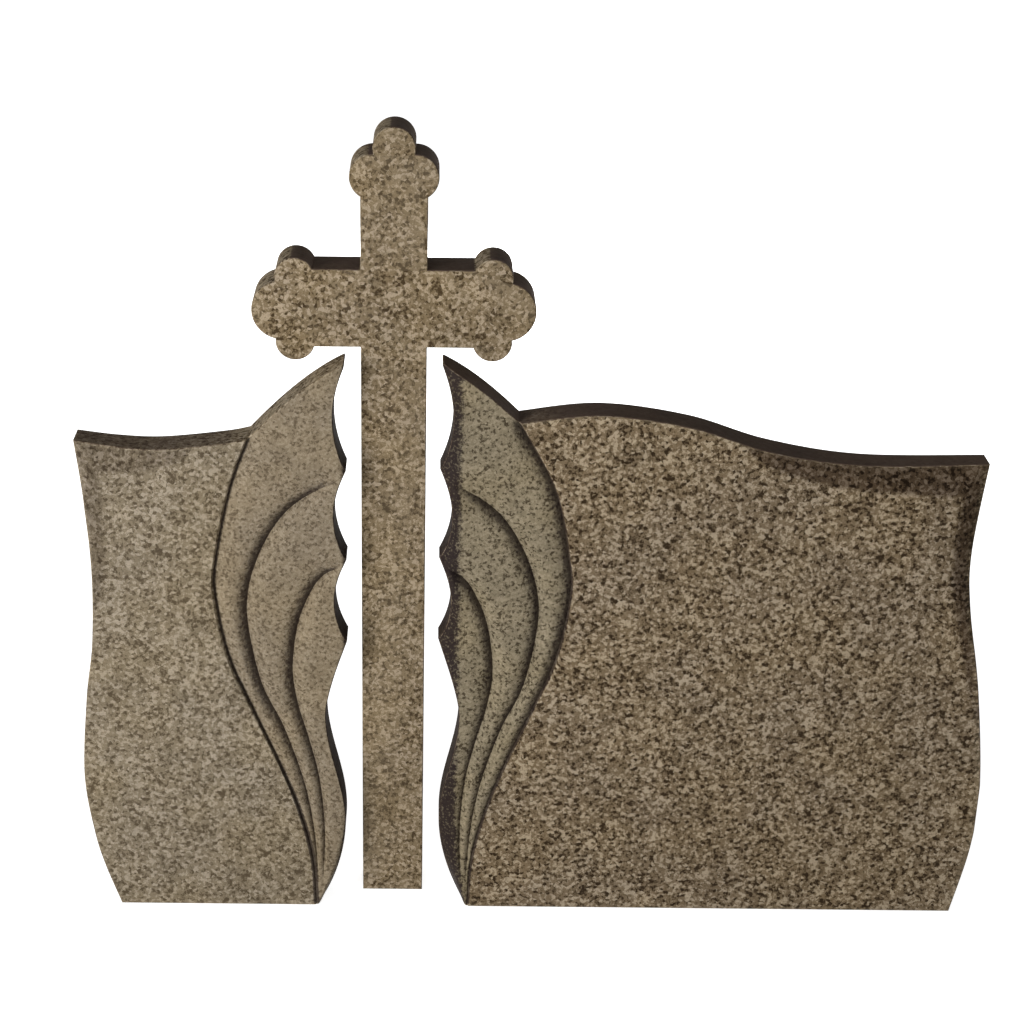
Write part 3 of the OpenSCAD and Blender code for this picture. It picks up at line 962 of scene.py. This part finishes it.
right_front = face_granite(
    "right front granite", 0.93, dark=srgb(40, 29, 18), ground=srgb(118, 102, 80),
    pale=srgb(170, 155, 132), wing_ground=srgb(130, 119, 97), wing_pale=srgb(150, 138, 115),
    shade_tone=shade_dark)

left_stone = tablet(LEFT, [left_front, edge_stone, back_stone])
cross_stone = cross([cross_front, edge_stone, back_stone])
right_stone = tablet(RIGHT, [right_front, edge_stone, back_stone])
stones = ((left_stone, "left_tablet"), (cross_stone, "cross"), (right_stone, "right_tablet"))
for piece, node in stones:
    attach(piece, "root")
    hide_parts(node)


# ---------------------------------------------------------------- floor, light and camera
def seen_directly(n):
    """1 for the rays that show a thing itself, 0 for those that only carry its light."""
    path = n.add("ShaderNodeLightPath").outputs
    seen = n.math("MAXIMUM", path["Is Camera Ray"], path["Is Glossy Ray"])
    return n.math("MAXIMUM", seen, path["Is Transmission Ray"])


def floor_material():
    """White as the camera sees it, and a plain pale floor to every other ray."""
    material = bpy.data.materials.new("pale floor")
    material.use_nodes = True
    tree = material.node_tree
    tree.nodes.clear()
    n = Nodes(tree)
    seen = seen_directly(n)
    matt = n.add("ShaderNodeBsdfDiffuse", {"Color": (0.88, 0.88, 0.88, 1)})
    place = n.add("ShaderNodeTexCoord").outputs["Object"]
    away = n.add("ShaderNodeVectorMath", {0: place}, operation="LENGTH").outputs["Value"]
    strength = n.blend(n.step(away, 0.9, 2.4), 0.79, 0.99)
    strength = n.math("MULTIPLY", seen, strength)
    glow = n.add("ShaderNodeEmission", {"Color": (1, 1, 1, 1), "Strength": strength})
    both = n.add("ShaderNodeAddShader", {0: matt.outputs[0], 1: glow.outputs[0]})
    tree.links.new(both.outputs[0], n.add("ShaderNodeOutputMaterial").inputs[0])
    return material


floor_reach = 9.0
floor_z = -0.001
floor_mesh = bpy.data.meshes.new("floor")
floor_corners = [
    (x * floor_reach, y * floor_reach, floor_z) for x, y in ((-1, -1), (1, -1), (1, 1), (-1, 1))]
floor_mesh.from_pydata(floor_corners, [], [(0, 1, 2, 3)])
floor_mesh.materials.append(floor_material())
floor = bpy.data.objects.new("floor", floor_mesh)
bpy.context.scene.collection.objects.link(floor)

world = bpy.data.worlds.new("studio")
bpy.context.scene.world = world
world.use_nodes = True
world.node_tree.nodes.clear()
w = Nodes(world.node_tree)
strength = w.blend(seen_directly(w), 0.15, 1.0)
glow = w.add("ShaderNodeBackground", {"Color": (1, 1, 1, 1), "Strength": strength})
world.node_tree.links.new(glow.outputs[0], w.add("ShaderNodeOutputWorld").inputs[0])

lamp_target = (0.0, 0.0, 0.6)


def lamp(name, place, size, power):
    """A square soft light that faces the middle of the stones."""
    data = bpy.data.lights.new(name, "AREA")
    data.shape = "SQUARE"
    data.size = size
    data.energy = power
    lamp_object = bpy.data.objects.new(name, data)
    bpy.context.scene.collection.objects.link(lamp_object)
    forward = np.array(lamp_target) - np.array(place)
    forward /= np.linalg.norm(forward)
    lamp_object.location = place
    lamp_object.rotation_euler = (
        math.acos(-forward[2]), 0, math.atan2(forward[1], forward[0]) - math.pi / 2)
    return lamp_object


lamp("key", (-3.1, -3.05, 1.65), size=1.3, power=138)
lamp("front", (-1.5, -4.4, 1.0), size=1.6, power=46)
# the back lamp must not glint along the upper edges of the stones
back_lamp = lamp("back", (0.6, 4.0, 0.85), size=1.6, power=112)
back_lamp.visible_glossy = False

camera_data = bpy.data.cameras.new("camera")
camera = bpy.data.objects.new("camera", camera_data)
bpy.context.scene.collection.objects.link(camera)
bpy.context.scene.camera = camera
camera_data.sensor_width = 36
camera_data.lens = 73.582
camera_data.shift_x = 0.08008
camera.location = (-0.1785, -3.1193, 2.1153)
camera.rotation_mode = "XYZ"
# from looking straight down, the camera is raised to 24 degrees below level, then rolled a little
raised = Matrix.Rotation(math.radians(90 - 24), 3, "X")
rolled = Matrix.Rotation(math.radians(0.58), 3, "Z")
camera.rotation_euler = (raised @ rolled).to_euler()

bpy.context.scene.view_settings.view_transform = "Standard"
bpy.context.view_layer.update()
